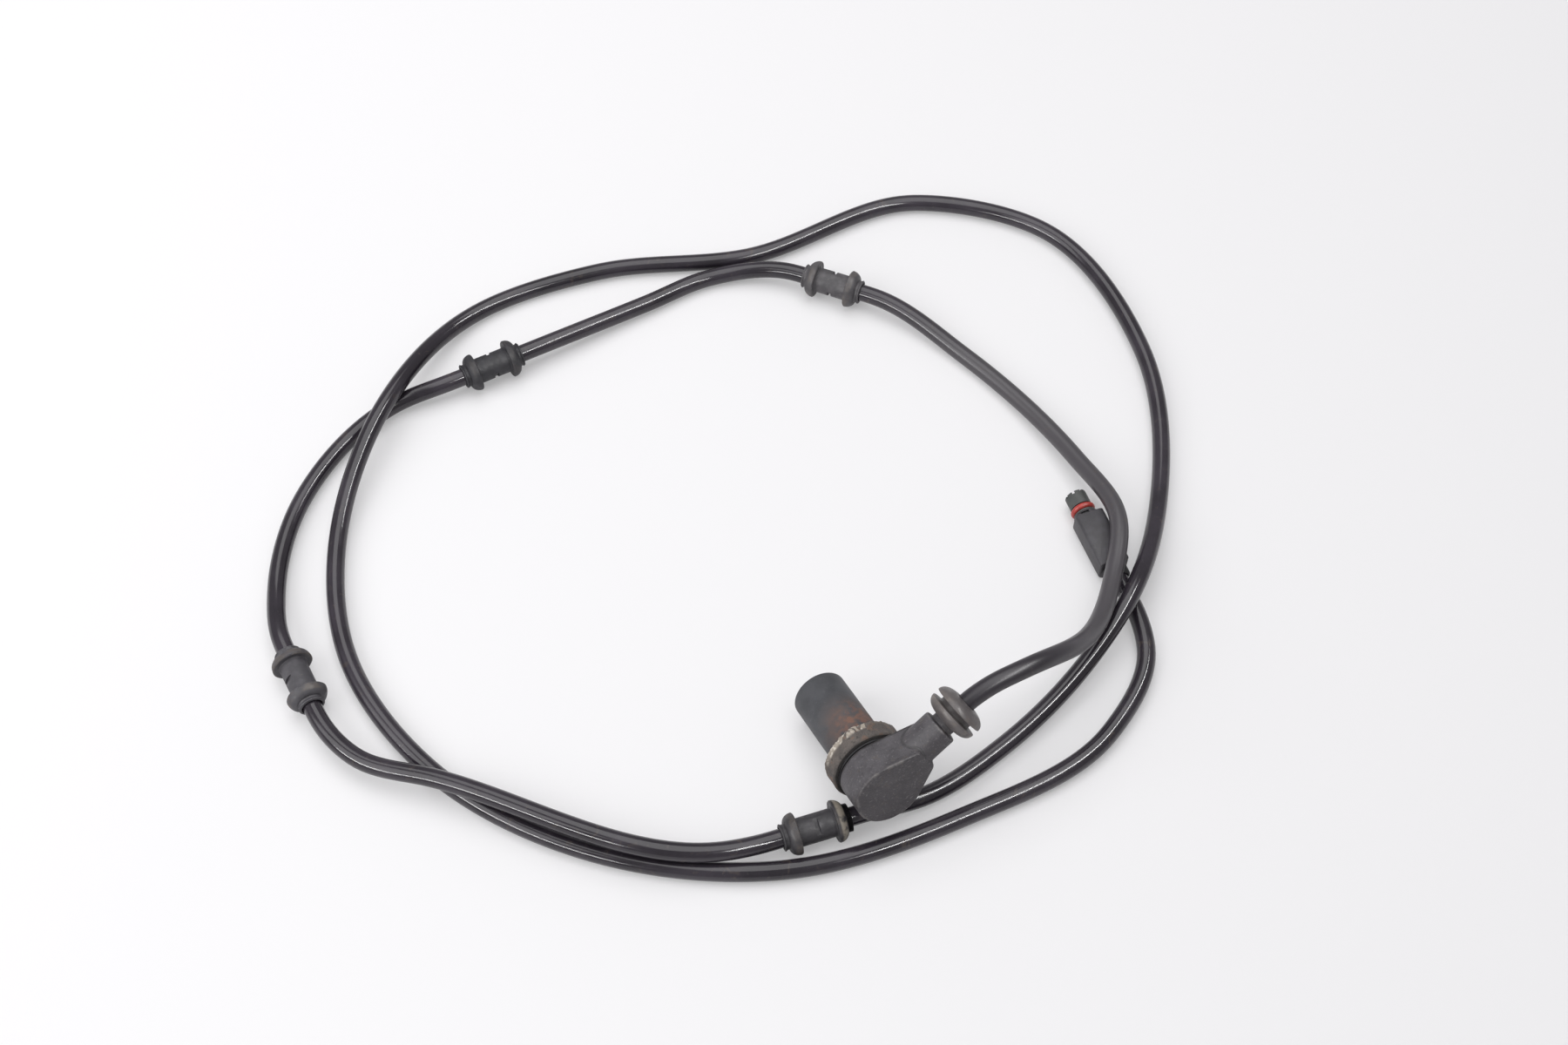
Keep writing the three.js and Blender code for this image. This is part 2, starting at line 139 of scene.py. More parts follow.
# A mask that is 1 within inner millimetres of a point and 0 beyond outer.
def nearFade(tree, place, centre, inner, outer):
    point = [c * mm for c in centre]
    apart = addNode(tree, "ShaderNodeVectorMath", {0: place, 1: point}, operation="DISTANCE")
    limits = span(apart.outputs["Value"], inner * mm, outer * mm, 1.0, 0.0)
    return addNode(tree, "ShaderNodeMapRange", limits, interpolation_type="SMOOTHSTEP").outputs["Result"]


# A mask that rises from start to full of a value stored on the mesh.
def storedFade(tree, name, start, full, bottom=0.0, top=1.0):
    stored = addNode(tree, "ShaderNodeAttribute", attribute_name=name).outputs["Fac"]
    limits = span(stored, start, full, bottom, top)
    return addNode(tree, "ShaderNodeMapRange", limits, interpolation_type="SMOOTHSTEP").outputs["Result"]


# Roughness that wanders between low and high in patches of size millimetres.
def unevenRoughness(tree, place, size, low, high):
    limits = span(speckle(tree, place, size, 0.3, 0.7), 0, 1, low, high)
    return addNode(tree, "ShaderNodeMapRange", limits, interpolation_type="SMOOTHSTEP").outputs["Result"]


# What all the masks have in common; a number thins it.
def overlap(tree, first, *others):
    for mask in others:
        node = addNode(tree, "ShaderNodeMath", {0: first, 1: mask}, operation="MULTIPLY", use_clamp=True)
        first = node.outputs[0]
    return first


# A colour over the base, where all the masks let it through.
def paint(tree, base, colour, *masks):
    mix = addNode(tree, "ShaderNodeMix", {0: overlap(tree, *masks), 6: base, 7: colour}, data_type="RGBA")
    return mix.outputs[2]


# Links the colour, the roughness where it varies, and a relief of depth millimetres.
def dress(tree, shader, colour, height, depth, strength, roughness=None):
    relief = addNode(tree, "ShaderNodeBump", {"Height": height, "Distance": depth * mm, "Strength": strength})
    tree.links.new(colour, shader.inputs["Base Color"])
    tree.links.new(relief.outputs["Normal"], shader.inputs["Normal"])
    if roughness:
        tree.links.new(roughness, shader.inputs["Roughness"])


# Moulded nylon: satin, with soft blotches. The grain is drawn at 0.5 mm, coarser than real, so that it shows.
def plugPlastic(name, colour, light):
    material, tree, shader = newMaterial(name, colour, 0.5)
    place = coordinates(tree)
    base = paint(tree, colour, light, speckle(tree, place, 4, 0.35, 0.7))
    dress(tree, shader, base, speckle(tree, place, 0.5, 0.3, 0.8, 6.0), 0.03, 0.4)
    return material


# For what lies deep or inside: soft blotches of two shades and a fine grain.
def mottled(name, colour, light, roughness, **values):
    material, tree, shader = newMaterial(name, colour, roughness, **values)
    place = addNode(tree, "ShaderNodeTexCoord").outputs["Object"]
    base = paint(tree, colour, light, speckle(tree, place, 3, 0.35, 0.7))
    uneven = unevenRoughness(tree, place, 1.5, roughness - 0.06, roughness + 0.08)
    dress(tree, shader, base, speckle(tree, place, 0.4, 0.3, 0.8, 6.0), 0.01, 0.3, uneven)
    return material


# Meshes.
# Points of an arc, as (radius, place along +Y), with angles in degrees.
def arc(radius, along, size, start, end, steps=8):
    angles = [math.radians(start + (end - start) * i / steps) for i in range(steps + 1)]
    return [(radius + size * math.cos(a), along + size * math.sin(a)) for a in angles]


# The outline of a cap: full radius at its rim, down to the inner radius at its crown.
def dome(inner, outer, rim, crown, steps=10):
    angles = [math.radians(90 * i / steps) for i in range(steps + 1)]
    return [(inner + (outer - inner) * math.cos(a), rim + (crown - rim) * math.sin(a)) for a in angles]


# Points round an edge of the given size, from its face to its side.
def eased(start, along, size, angles=(0, 30, 60, 90)):
    return [(start - size * math.sin(a), along + size - size * math.cos(a)) for a in np.radians(angles)]


# A closed outline of (radius, place) points turned about +Y.
def turned(profile, segments=96, push=None):
    count = len(profile)
    vertices = []
    for i in range(segments):
        turn = 2 * math.pi * i / segments
        for radius, along in profile:
            if push:
                radius, along = push(radius, along, turn)
            vertices.append((radius * math.sin(turn), along, radius * math.cos(turn)))
    faces = []
    for i in range(segments):
        here, there = i * count, (i + 1) % segments * count
        for k in range(count):
            after = (k + 1) % count
            faces.append((here + k, here + after, there + after, there + k))
    return vertices, faces


# As turned, for an outline whose ends lie on the axis.
def capped(profile, segments=96):
    return turned([*profile, (0.0, (profile[0][1] + profile[-1][1]) / 2)], segments)


# Faces between rings of count points each, and one across either end.
def bridged(rings, count):
    faces = []
    for ring in range(rings - 1):
        here, there = ring * count, (ring + 1) * count
        for k in range(count):
            after = (k + 1) % count
            faces.append((here + k, here + after, there + after, there + k))
    last = (rings - 1) * count
    return faces + [tuple(range(count)), tuple(range(last, last + count))]


def shade(piece, angle):
    piece.data.shade_smooth()
    piece.data.set_sharp_from_angle(angle=math.radians(angle))


def addMesh(name, vertices, faces, material, matrix, smoothAngle=35):
    mesh = bpy.data.meshes.new(name)
    mesh.from_pydata([Vector(v) * mm for v in vertices], [], faces)
    work = bmesh.new()
    work.from_mesh(mesh)
    bmesh.ops.remove_doubles(work, verts=work.verts, dist=1e-7)
    bmesh.ops.recalc_face_normals(work, faces=work.faces)
    work.to_mesh(mesh)
    work.free()
    mesh.materials.append(material)
    piece = bpy.data.objects.new(name, mesh)
    scene.collection.objects.link(piece)
    piece.matrix_world = matrix
    shade(piece, smoothAngle)
    return piece


def applyModifiers(piece):
    ready = bpy.data.meshes.new_from_object(piece.evaluated_get(bpy.context.evaluated_depsgraph_get()))
    piece.modifiers.clear()
    piece.data = ready


def joined(name, pieces):
    bpy.ops.object.select_all(action="DESELECT")
    for piece in pieces:
        piece.select_set(True)
    bpy.context.view_layer.objects.active = pieces[0]
    bpy.ops.object.join()
    pieces[0].name = name
    return pieces[0]


# Takes a box out of the piece, in its own millimetres and turned about +Y.
def cutBox(piece, low, high, turn=0.0):
    corners = [(x, y, z) for x in (low[0], high[0]) for y in (low[1], high[1]) for z in (low[2], high[2])]
    corners = [Matrix.Rotation(turn, 3, "Y") @ Vector(c) for c in corners]
    faces = [(0, 1, 3, 2), (4, 6, 7, 5), (0, 4, 5, 1), (2, 3, 7, 6), (0, 2, 6, 4), (1, 5, 7, 3)]
    cutter = addMesh("cutter", corners, faces, piece.data.materials[0], piece.matrix_world)
    cut = piece.modifiers.new("cut", "BOOLEAN")
    cut.operation = "DIFFERENCE"
    cut.object = cutter
    cut.solver = "EXACT"
    bpy.context.view_layer.update()
    applyModifiers(piece)
    bpy.data.objects.remove(cutter)


# The mesh is moved into the frame, and keeps its own coordinates for the patterns.
def finished(piece, slotName, *replaced):
    mesh = piece.data
    own = np.empty(len(mesh.vertices) * 3, dtype=np.float32)
    mesh.vertices.foreach_get("co", own)
    mesh.attributes.new("place", "FLOAT_VECTOR", "POINT").data.foreach_set("vector", own)
    mesh.transform(piece.matrix_world)
    piece.matrix_world = Matrix.Identity(4)
    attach(piece, "root")
    if replaced:
        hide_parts(*replaced)
    return piece


# The head has its own frame: +Y to the barrel's tip, +X out along the cable outlet, 0 at the flange's front.
# Angles in degrees; pinMiddle is where the pole pin's middle lies on +Y.
head = {"dip": -16.5, "roll": -28.3, "pinMiddle": 19.6}

pinLow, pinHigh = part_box("pole_pin")
headMatrix = (
    Matrix.Translation((pinLow + pinHigh) / 2)
    @ Matrix.Rotation(math.radians(head["dip"]), 4, "X")
    @ Matrix.Rotation(math.radians(head["roll"]), 4, "Y")
    @ Matrix.Translation((0, -head["pinMiddle"] * mm, 0))
)

barrel = {
    "radius": 9.0,
    "length": 29.2,
    "rear": -7.9,
    "wall": 0.8,
    "round": 0.8,
    "hole": 2.7,
    "bevel": 0.2,
    "bands": 12,
    "bandsFrom": -6,
    "bandsGap": 0.5,
}


# Weathered steel: dull and mottled, with a rust stain on one side that loses all shine. Here and below, a
# grain of less than 0.3 mm on the real surface is drawn two or three times as coarse, so that it shows.
def barrelSteel():
    material, tree, shader = newMaterial("weathered steel", "#4a4b4f", 0.6, Metallic=0.2)
    place = coordinates(tree)
    base = paint(tree, "#404145", "#4c4d51", speckle(tree, place, 7, 0.35, 0.7))
    base = paint(tree, base, "#67676a", speckle(tree, place, 1.0, 0.6, 0.74, 6.0), 0.3)
    stain = overlap(tree, nearFade(tree, place, (6, 4, 7), 5, 16), speckle(tree, place, 5, 0.28, 0.58))
    base = paint(tree, base, "#604f49", stain, 0.8)
    core = nearFade(tree, place, (7, 5, 6), 2, 12)
    base = paint(tree, base, "#7d5747", core, speckle(tree, place, 2.2, 0.42, 0.62, 6.0), 0.7)
    for name, clean, rusted in (("Roughness", 0.55, 0.85), ("Metallic", 0.2, 0.02)):
        limits = span(stain, 0, 1, clean, rusted)
        node = addNode(tree, "ShaderNodeMapRange", limits, interpolation_type="SMOOTHSTEP")
        tree.links.new(node.outputs["Result"], shader.inputs[name])
    dress(tree, shader, base, speckle(tree, place, 0.7, 0.3, 0.8, 8.0), 0.04, 0.5)
    return material


def addBarrel(material):
    radius, reach, size = barrel["radius"], barrel["length"], barrel["round"]
    inner = radius - barrel["wall"]
    bands = np.linspace(barrel["bandsFrom"], reach - size - barrel["bandsGap"], barrel["bands"])
    outline = [
        (inner, barrel["rear"]),
        (radius, barrel["rear"]),
        *[(radius, y) for y in bands],
        *arc(radius - size, reach - size, size, 0, 90),
        (barrel["hole"] + barrel["bevel"], reach),
        (barrel["hole"], reach - barrel["bevel"]),
        (barrel["hole"], reach - barrel["wall"]),
        (inner, reach - barrel["wall"]),
    ]
    piece = addMesh("barrel", *turned(outline, 128), material, headMatrix)
    finished(piece, "barrel_steel", "sensor_barrel")


flange = {
    "radius": 12.9,
    "inner": 9.3,
    "depth": 7.0,
    "round": 1.2,
    "rearRound": 0.8,
    "recess": 0.3,
    "lip": 0.5,
    "spare": 0.1,
    "sideFrom": -5.6,
    "sideRings": 10,
    "faceFrom": 11.2,
    "faceRings": 6,
}
# The crust swells the front rim: where it starts and how far it fades in, how many waves of each grain go
# into a millimetre, and how far it stands out or leans forward.
crust = {
    "front": -2.6,
    "frontFade": 1.6,
    "inner": 9.6,
    "innerFade": 1.2,
    "grain": 0.35,
    "chips": 1.1,
    "fineGrain": 1.3,
    "fineChips": 0.25,
    "lowest": -0.25,
    "highest": 0.45,
    "wear": 0.05,
    "wearGrain": 0.5,
    "lean": 0.3,
    "leanFrom": -1.5,
}


# Crusted plate: browned and rough, with pale flakes on the part of the front rim that faces up.
def flangePlate():
    material, tree, shader = newMaterial("crusted plate", "#5c534c", 0.8)
    place = coordinates(tree)
    base = paint(tree, "#534d4a", "#645c57", speckle(tree, place, 4, 0.35, 0.65))
    base = paint(tree, base, "#433e3b", speckle(tree, place, 1.4, 0.55, 0.7))
    base = paint(tree, base, "#775d4e", speckle(tree, place, 2.6, 0.56, 0.66, 6.0), 0.6)
    rim = overlap(tree, alongFade(tree, place, -2.4, -1.4), radialFade(tree, place, 9.8, 10.8))
    base = paint(tree, base, "#6c645d", rim, speckle(tree, place, 2.0, 0.35, 0.6, 6.0))
    upper = overlap(tree, alongFade(tree, place, -3.4, -2.2), nearFade(tree, place, (2, 0, 11), 7, 14))
    flakes = overlap(tree, upper, speckle(tree, place, 4.0, 0.47, 0.52, 8.0, 0.8))
    base = paint(tree, base, "#a79d91", flakes, 0.85)
    base = paint(tree, base, "#d3cbc0", flakes, speckle(tree, place, 1.1, 0.52, 0.6, 6.0), 0.9)
    # Dirt in the groove behind.
    # Painted shadow in the groove behind, on the back face inward towards the drum.
    groove = overlap(tree, radialFade(tree, place, 12.6, 12.0), alongFade(tree, place, -6.1, -6.6))
    base = paint(tree, base, "#1d1a1a", groove, 0.9)
    grain = speckle(tree, place, 0.6, 0.3, 0.7, 8.0)
    height = addNode(tree, "ShaderNodeMath", {0: flakes, 1: grain}, operation="ADD", use_clamp=True)
    dress(tree, shader, base, height.outputs[0], 0.25, 0.8)
    return material


def addFlange(material):
    radius, inner, depth = flange["radius"], flange["inner"], flange["depth"]
    size, rear, recess, spare = flange["round"], flange["rearRound"], flange["recess"], flange["spare"]
    sideRings = np.linspace(flange["sideFrom"], -size - 0.4, flange["sideRings"])
    faceRings = np.linspace(flange["faceFrom"], inner + 0.3, flange["faceRings"])

    def crusted(r, y, turn):
        rim = max(0.0, min(1.0, (y - crust["front"]) / crust["frontFade"]))
        rim *= max(0.0, min(1.0, (r - crust["inner"]) / crust["innerFade"]))
        spot = Vector((r * math.sin(turn), y, r * math.cos(turn)))
        grain = noise.fractal(spot * crust["grain"], 1.0, 2.0, 5)
        chip = max(0.0, grain) * crust["chips"] + crust["fineChips"] * noise.noise(spot * crust["fineGrain"])
        swell = rim * max(crust["lowest"], min(crust["highest"], chip))
        wear = crust["wear"] * noise.noise(spot * crust["wearGrain"])
        if r <= crust["inner"]:
            return min(radius, r), y
        return min(radius, r + (swell + wear)), y + (crust["lean"] * swell if y > crust["leanFrom"] else 0)

    outline = [
        (inner, -depth),
        *arc(radius - rear, rear - depth, rear, -90, 0, 6),
        *[(radius - spare, y) for y in sideRings],
        *arc(radius - size - spare, -size - recess, size, 0, 90, 10),
        *[(r, -recess) for r in faceRings],
        (inner, -flange["lip"]),
    ]
    piece = addMesh("flange", *turned(outline, 256, crusted), material, headMatrix, 60)
    finished(piece, "flange_plate", "stop_flange")


seal = {"radius": 11.3, "front": -7.3, "back": -7.9}


def addFlangeSeal(material):
    outline = [
        (flange["inner"], seal["back"]),
        (seal["radius"], seal["back"]),
        (seal["radius"], seal["front"]),
        (flange["inner"], seal["front"]),
    ]
    piece = addMesh("flangeSeal", *turned(outline), material, headMatrix)
    finished(piece, "rubber", "flange_seal")


# The web reaches less far at the back face than at the front; halfAngle is in degrees.
drum = {
    "radius": 11.5,
    "front": -8.2,
    "back": -20.2,
    "halfAngle": 28,
    "reach": 20.0,
    "backReach": 15.2,
    "corner": 1.2,
    "edge": 0.6,
    "edgeAngles": (0, 22, 45, 68, 90),
    "frontEdge": ((0.0, 0.4), (0.1, 0.1), (0.4, 0.0)),
    "voxel": 0.22,
}
boss = {
    "axisY": -14.0,
    "radius": 6.0,
    "round": 0.7,
    "start": 6.0,
    "end": 25.0,
    "neckRadius": 4.05,
    "neckRound": 0.25,
    "neckEnd": 27.0,
    "fillet": 0.5,
    "overlap": 1,
}
# The outlet's own frame has +Y out along the cable.
outletTurn = Matrix.Rotation(-math.pi / 2, 4, "Z")
outletMatrix = headMatrix @ Matrix.Translation((0, boss["axisY"] * mm, 0)) @ outletTurn


# Moulded polyamide: matt and lightly pitted, its edges pale, partly rubbed and partly a painted highlight,
# with painted shade in its creases, towards its back face and along the drum's front rim.
def housingPlastic():
    material, tree, shader = newMaterial("moulded polyamide", "#474447", 0.62)
    place = coordinates(tree)
    base = paint(tree, "#444145", "#524f53", speckle(tree, place, 6, 0.35, 0.7))
    # Painted shade: darker towards the back face.
    base = paint(tree, base, "#2e282c", alongFade(tree, place, -17.6, -20.1), 0.5)
    base = paint(tree, base, "#6d6a6c", speckle(tree, place, 0.8, 0.58, 0.68, 6.0), 0.6)
    base = paint(tree, base, "#322f32", speckle(tree, place, 1.3, 0.62, 0.7, 8.0), 0.6)
    base = paint(tree, base, "#544c45", speckle(tree, place, 2.2, 0.55, 0.7, 6.0), 0.35)
    # Pale edges, where the surface bends outward: partly rubbed wear, partly a painted highlight.
    edges = storedFade(tree, "bend", -0.25, -0.85)
    base = paint(tree, base, "#736f6d", edges, speckle(tree, place, 3.5, 0.4, 0.62, 6.0), 0.6)
    # Painted shade in the creases, where the surface bends inward.
    base = paint(tree, base, "#2c2a2c", storedFade(tree, "bend", 0.03, 0.25), 0.6)
    # Painted shadow along the drum's front rim, next to the groove behind the flange.
    base = paint(tree, base, "#1f1c1e", alongFade(tree, place, -9.3, -8.7), 0.8)
    uneven = unevenRoughness(tree, place, 3, 0.4, 0.6)
    dress(tree, shader, base, speckle(tree, place, 0.7, 0.25, 0.8, 8.0), 0.1, 0.8, uneven)
    return material


# The drum with its web, seen along the barrel's axis, as (x, z) points.
def webOutline(inset, y, steps=72, cornerSteps=6):
    half = math.radians(drum["halfAngle"])
    radius = drum["radius"] - inset
    leave = math.pi / 2 - half
    depth = (drum["front"] - y) / (drum["front"] - drum["back"])
    end = drum["reach"] + (drum["backReach"] - drum["reach"]) * depth - inset

    def side(x):
        return (radius - x * math.sin(half)) / math.cos(half)

    points = []
    for i in range(steps + 1):
        turn = leave + (2 * math.pi - 2 * leave) * i / steps
        points.append((radius * math.cos(turn), radius * math.sin(turn)))
    corner = drum["corner"]
    bend = [
        (end - corner, -side(end - corner)),
        (end, -side(end)),
        (end, min(0.0, corner - side(end))),
    ]
    for i in range(cornerSteps + 1):
        t = i / cornerSteps
        points.append(tuple((1 - t) ** 2 * a + 2 * t * (1 - t) * b + t * t * c for a, b, c in zip(*bend)))
    return points + [(x, -z) for x, z in reversed(points[-cornerSteps - 1 :])]


# Outline rings with rounded back and front edges, closed by a face at each end.
def webShell():
    rings = eased(drum["edge"], drum["back"], drum["edge"], drum["edgeAngles"])
    rings += [(inset, drum["front"] - depth) for inset, depth in drum["frontEdge"]]
    vertices = [(x, y, z) for inset, y in rings for x, z in webOutline(inset, y)]
    return vertices, bridged(len(rings), len(vertices) // len(rings))


# How sharply the surface bends at each vertex, per mm: below 0 over an edge, above 0 in a crease.
def markBends(piece, spacing, passes=10):
    mesh = piece.data
    count = len(mesh.vertices)
    place, normal = np.empty(count * 3), np.empty(count * 3)
    mesh.vertices.foreach_get("co", place)
    mesh.vertices.foreach_get("normal", normal)
    place, normal = place.reshape(-1, 3) / mm, normal.reshape(-1, 3)
    ends = np.empty(len(mesh.edges) * 2, dtype=int)
    mesh.edges.foreach_get("vertices", ends)
    first, second = ends.reshape(-1, 2).T
    around = np.maximum(np.bincount(ends, minlength=count), 1)

    def average(values):
        total = np.bincount(first, values[second], count) + np.bincount(second, values[first], count)
        return total / around

    middle = np.stack([average(place[:, axis]) for axis in range(3)], axis=1)
    bend = ((middle - place) * normal).sum(axis=1) * 4 / spacing**2
    for _ in range(passes):
        bend = (bend + average(bend)) / 2
    mesh.attributes.new("bend", "FLOAT", "POINT").data.foreach_set("value", bend.astype(np.float32))


# Drum, web and boss melt into each other; the thin neck is added after that.
def addHousing(material):
    web = addMesh("web", *webShell(), material, headMatrix)
    radius, end, size = boss["radius"], boss["end"], boss["round"]
    outline = [
        (0, boss["start"]),
        (radius, boss["start"]),
        *arc(radius - size, end - size, size, 0, 90, 6),
        (0, end),
    ]
    outlet = addMesh("boss", *capped(outline), material, outletMatrix)
    body = joined("housing", [web, outlet])
    melt = body.modifiers.new("melt", "REMESH")
    melt.mode = "VOXEL"
    melt.voxel_size = drum["voxel"] * mm
    soften = body.modifiers.new("soften", "SMOOTH")
    soften.factor = 0.5
    soften.iterations = 3
    applyModifiers(body)
    radius, tip, size, fillet = boss["neckRadius"], boss["neckEnd"], boss["neckRound"], boss["fillet"]
    neck = [
        (cable["bore"], end - boss["overlap"]),
        (radius + fillet, end - boss["overlap"]),
        *eased(radius + fillet, end, fillet),
        *arc(radius - size, tip - size, size, 0, 90, 4),
        (cable["bore"], tip),
    ]
    collar = addMesh("neck", *turned(neck, 72), material, outletMatrix)
    body = joined("housing", [body, collar])
    markBends(body, drum["voxel"])
    shade(body, 50)
    finished(body, "housing_plastic", "sensor_housing")


# Two discs with a groove between them. Clear is the gap to the neck, ease the groove's corners.
disc = {
    "near": 26.85,
    "radius": 8.9,
    "depth": 3.4,
    "groove": 1.95,
    "hub": 6.1,
    "lip": 0.15,
    "clear": 0.3,
    "ease": 0.3,
    "wornFrom": 5,
    "worn": 0.14,
    "waves": 0.3,
}
# Dirt lies on what is further out than rim; roughness wanders between two values.
discLook = {
    "name": "aged disc rubber",
    "colour": "#575252",
    "dusty": "#645f5e",
    "dirt": "#7d736a",
    "rim": 8.6,
    "amount": 0.4,
    "roughness": (0.36, 0.52),
}


# Old rubber: dusty and dull, with dirt on its rims and in specks. From blackFrom on it is black, behind a
# chalky rim.
def oldRubber(look):
    material, tree, shader = newMaterial(look["name"], look["colour"], 0.8)
    place = coordinates(tree)
    rim, dirt, blackFrom = look["rim"], look["dirt"], look.get("blackFrom")
    base = paint(tree, look["colour"], look["dusty"], speckle(tree, place, 3, 0.35, 0.7))
    edge = overlap(tree, radialFade(tree, place, rim - 0.5, rim), speckle(tree, place, 3.5, 0.38, 0.62, 6.0))
    base = paint(tree, base, dirt, edge, look["amount"])
    base = paint(tree, base, dirt, speckle(tree, place, 0.7, 0.64, 0.76, 6.0), 0.45)
    if blackFrom:
        outer = overlap(tree, radialFade(tree, place, 5.2, 5.8), speckle(tree, place, 2.5, 0.3, 0.5))
        rear = alongFade(tree, place, blackFrom - 3.0, blackFrom - 2.3)
        base = paint(tree, base, "#a39a8c", rear, outer, 0.7)
        base = paint(tree, base, "#19181b", alongFade(tree, place, blackFrom, blackFrom + 0.3))
    uneven = unevenRoughness(tree, place, 2, *look["roughness"])
    dress(tree, shader, base, speckle(tree, place, 0.9, 0.3, 0.75, 6.0), 0.06, 0.5, uneven)
    return material


def addBracketGrommet(material):
    near, radius, hub = disc["near"], disc["radius"], disc["hub"]
    lip, clear, ease = disc["lip"], disc["clear"], disc["ease"]
    wall = near + disc["depth"]
    far = wall + disc["groove"]
    end = far + disc["depth"]

    def worn(r, y, turn):
        spot = Vector((r * math.sin(turn), y, r * math.cos(turn)))
        if r <= disc["wornFrom"]:
            return r, y
        return r + disc["worn"] * (noise.noise(spot * disc["waves"]) - 0.5), y

    outline = [
        (cable["bore"], boss["neckEnd"] + clear),
        (boss["neckRadius"] + clear, boss["neckEnd"] + clear),
        (boss["neckRadius"] + clear, near),
        *reversed(dome(boss["neckRadius"] + 2 * clear, radius, wall - lip, near)),
        (radius - lip, wall),
        (hub + ease, wall),
        (hub, wall + ease),
        (hub, far - ease),
        (hub + ease, far),
        (radius - lip, far),
        *dome(cable["bore"] + ease, radius, far + lip, end),
        (cable["bore"], end),
    ]
    piece = addMesh("bracketGrommet", *turned(outline, 128, worn), material, outletMatrix, 40)
    return finished(piece, "rubber", "bracket_grommet")


# A spool grommet, from its middle out: body, flange at reach, collar with its lip at the end.
spool = {
    "reach": 7.5,
    "flange": 3.0,
    "radius": 6.85,
    "body": 4.65,
    "collar": 4.15,
    "lip": 4.45,
    "end": 11.3,
    "lipDepth": 1.0,
    "ease": 0.3,
    "crown": 0.6,
    "shoulder": 0.75,
    "lipMiddle": 0.4,
    "slotWidth": 1.5,
    "slotDepth": 3.7,
    "wornFrom": 3.6,
    "worn": 0.12,
    "waves": 0.35,
}
ribs = {"count": 7, "first": 0.85, "step": 0.2, "high": 0.2, "low": -0.3}
# In the order in which the grommets sit on the cable.
spoolLooks = [
    {
        "name": "dusty rubber",
        "colour": "#464447",
        "dusty": "#565356",
        "dirt": "#6f6760",
        "rim": 6.5,
        "amount": 0.4,
        "roughness": (0.45, 0.65),
    },
    {
        "name": "dark spool rubber",
        "colour": "#232227",
        "dusty": "#2c2b31",
        "dirt": "#474240",
        "rim": 6.5,
        "amount": 0.4,
        "roughness": (0.5, 0.65),
    },
    {
        "name": "grey spool rubber",
        "colour": "#424045",
        "dusty": "#4d4b50",
        "dirt": "#6b6157",
        "rim": 6.4,
        "amount": 0.5,
        "roughness": (0.45, 0.65),
    },
    {
        "name": "chalked rubber",
        "colour": "#2d2b2f",
        "dusty": "#38363a",
        "dirt": "#5b524a",
        "rim": 6.5,
        "amount": 0.45,
        "roughness": (0.45, 0.65),
        "blackFrom": 9.6,
    },
]


def addSpoolGrommet(count, place, heading, roll, material, ribbed=False):
    near, far = spool["reach"] - spool["flange"] / 2, spool["reach"] + spool["flange"] / 2
    radius, ease, end = spool["radius"], spool["ease"], spool["end"]
    half = [
        (spool["body"], 0.0),
        (spool["body"], near - ease),
        (spool["body"] + ease, near),
        (radius - ease, near),
        *dome(spool["collar"] + 0.1, radius, near + ease, far + spool["crown"], 12),
        (spool["collar"], far + spool["shoulder"]),
    ]
    lipped = [
        (spool["collar"], end - spool["lipDepth"]),
        *arc(spool["lip"] - ease, end - spool["lipMiddle"], ease, -60, 60, 6),
    ]
    ribbing = [
        (spool["lip"] + (ribs["high"], ribs["low"])[k % 2], far + ribs["first"] + ribs["step"] * k)
        for k in range(ribs["count"])
    ]
    mouth = [(cable["bore"] + 0.2, end), (cable["bore"], end - ease)]
    front = half + (ribbing if ribbed else lipped) + mouth
    outline = [(r, -y) for r, y in reversed(half + lipped + mouth)] + front[1:]

    # Each grommet wears its own way.
    def worn(r, y, turn):
        spot = Vector((r * math.sin(turn) + 20 * count, y, r * math.cos(turn)))
        if r <= spool["wornFrom"]:
            return r, y
        return r + spool["worn"] * (noise.noise(spot * spool["waves"]) - 0.5), y

    matrix = (
        Matrix.Translation(place)
        @ Matrix.Rotation(math.atan2(-heading[0], heading[1]), 4, "Z")
        @ Matrix.Rotation(math.radians(roll), 4, "Y")
    )
    piece = addMesh(f"cableGrommet{count}", *turned(outline, 96, worn), material, matrix, 45)
    wide = spool["slotWidth"] / 2
    for side in (-1, 1):
        left, right = sorted((side * spool["slotDepth"], side * (spool["body"] + 1)))
        cutBox(piece, (left, -wide, -spool["body"]), (right, wide, spool["body"]))
    shade(piece, 40)
    return finished(piece, "rubber", f"cable_grommet_{count}")


# leadOff is where the cable leaves the outlet, by places on the outlet's axis.
# Straight is where it runs straight before and after a grommet's middle.
cable = {
    "radius": 3.1,
    "bore": 3.4,
    "lowest": 3.2,
    "sides": 24,
    "step": 2.5,
    "leadOff": (25.0, 30.0, 36.0),
    "straight": (-15.5, -12.0, 12.0, 15.5),
}
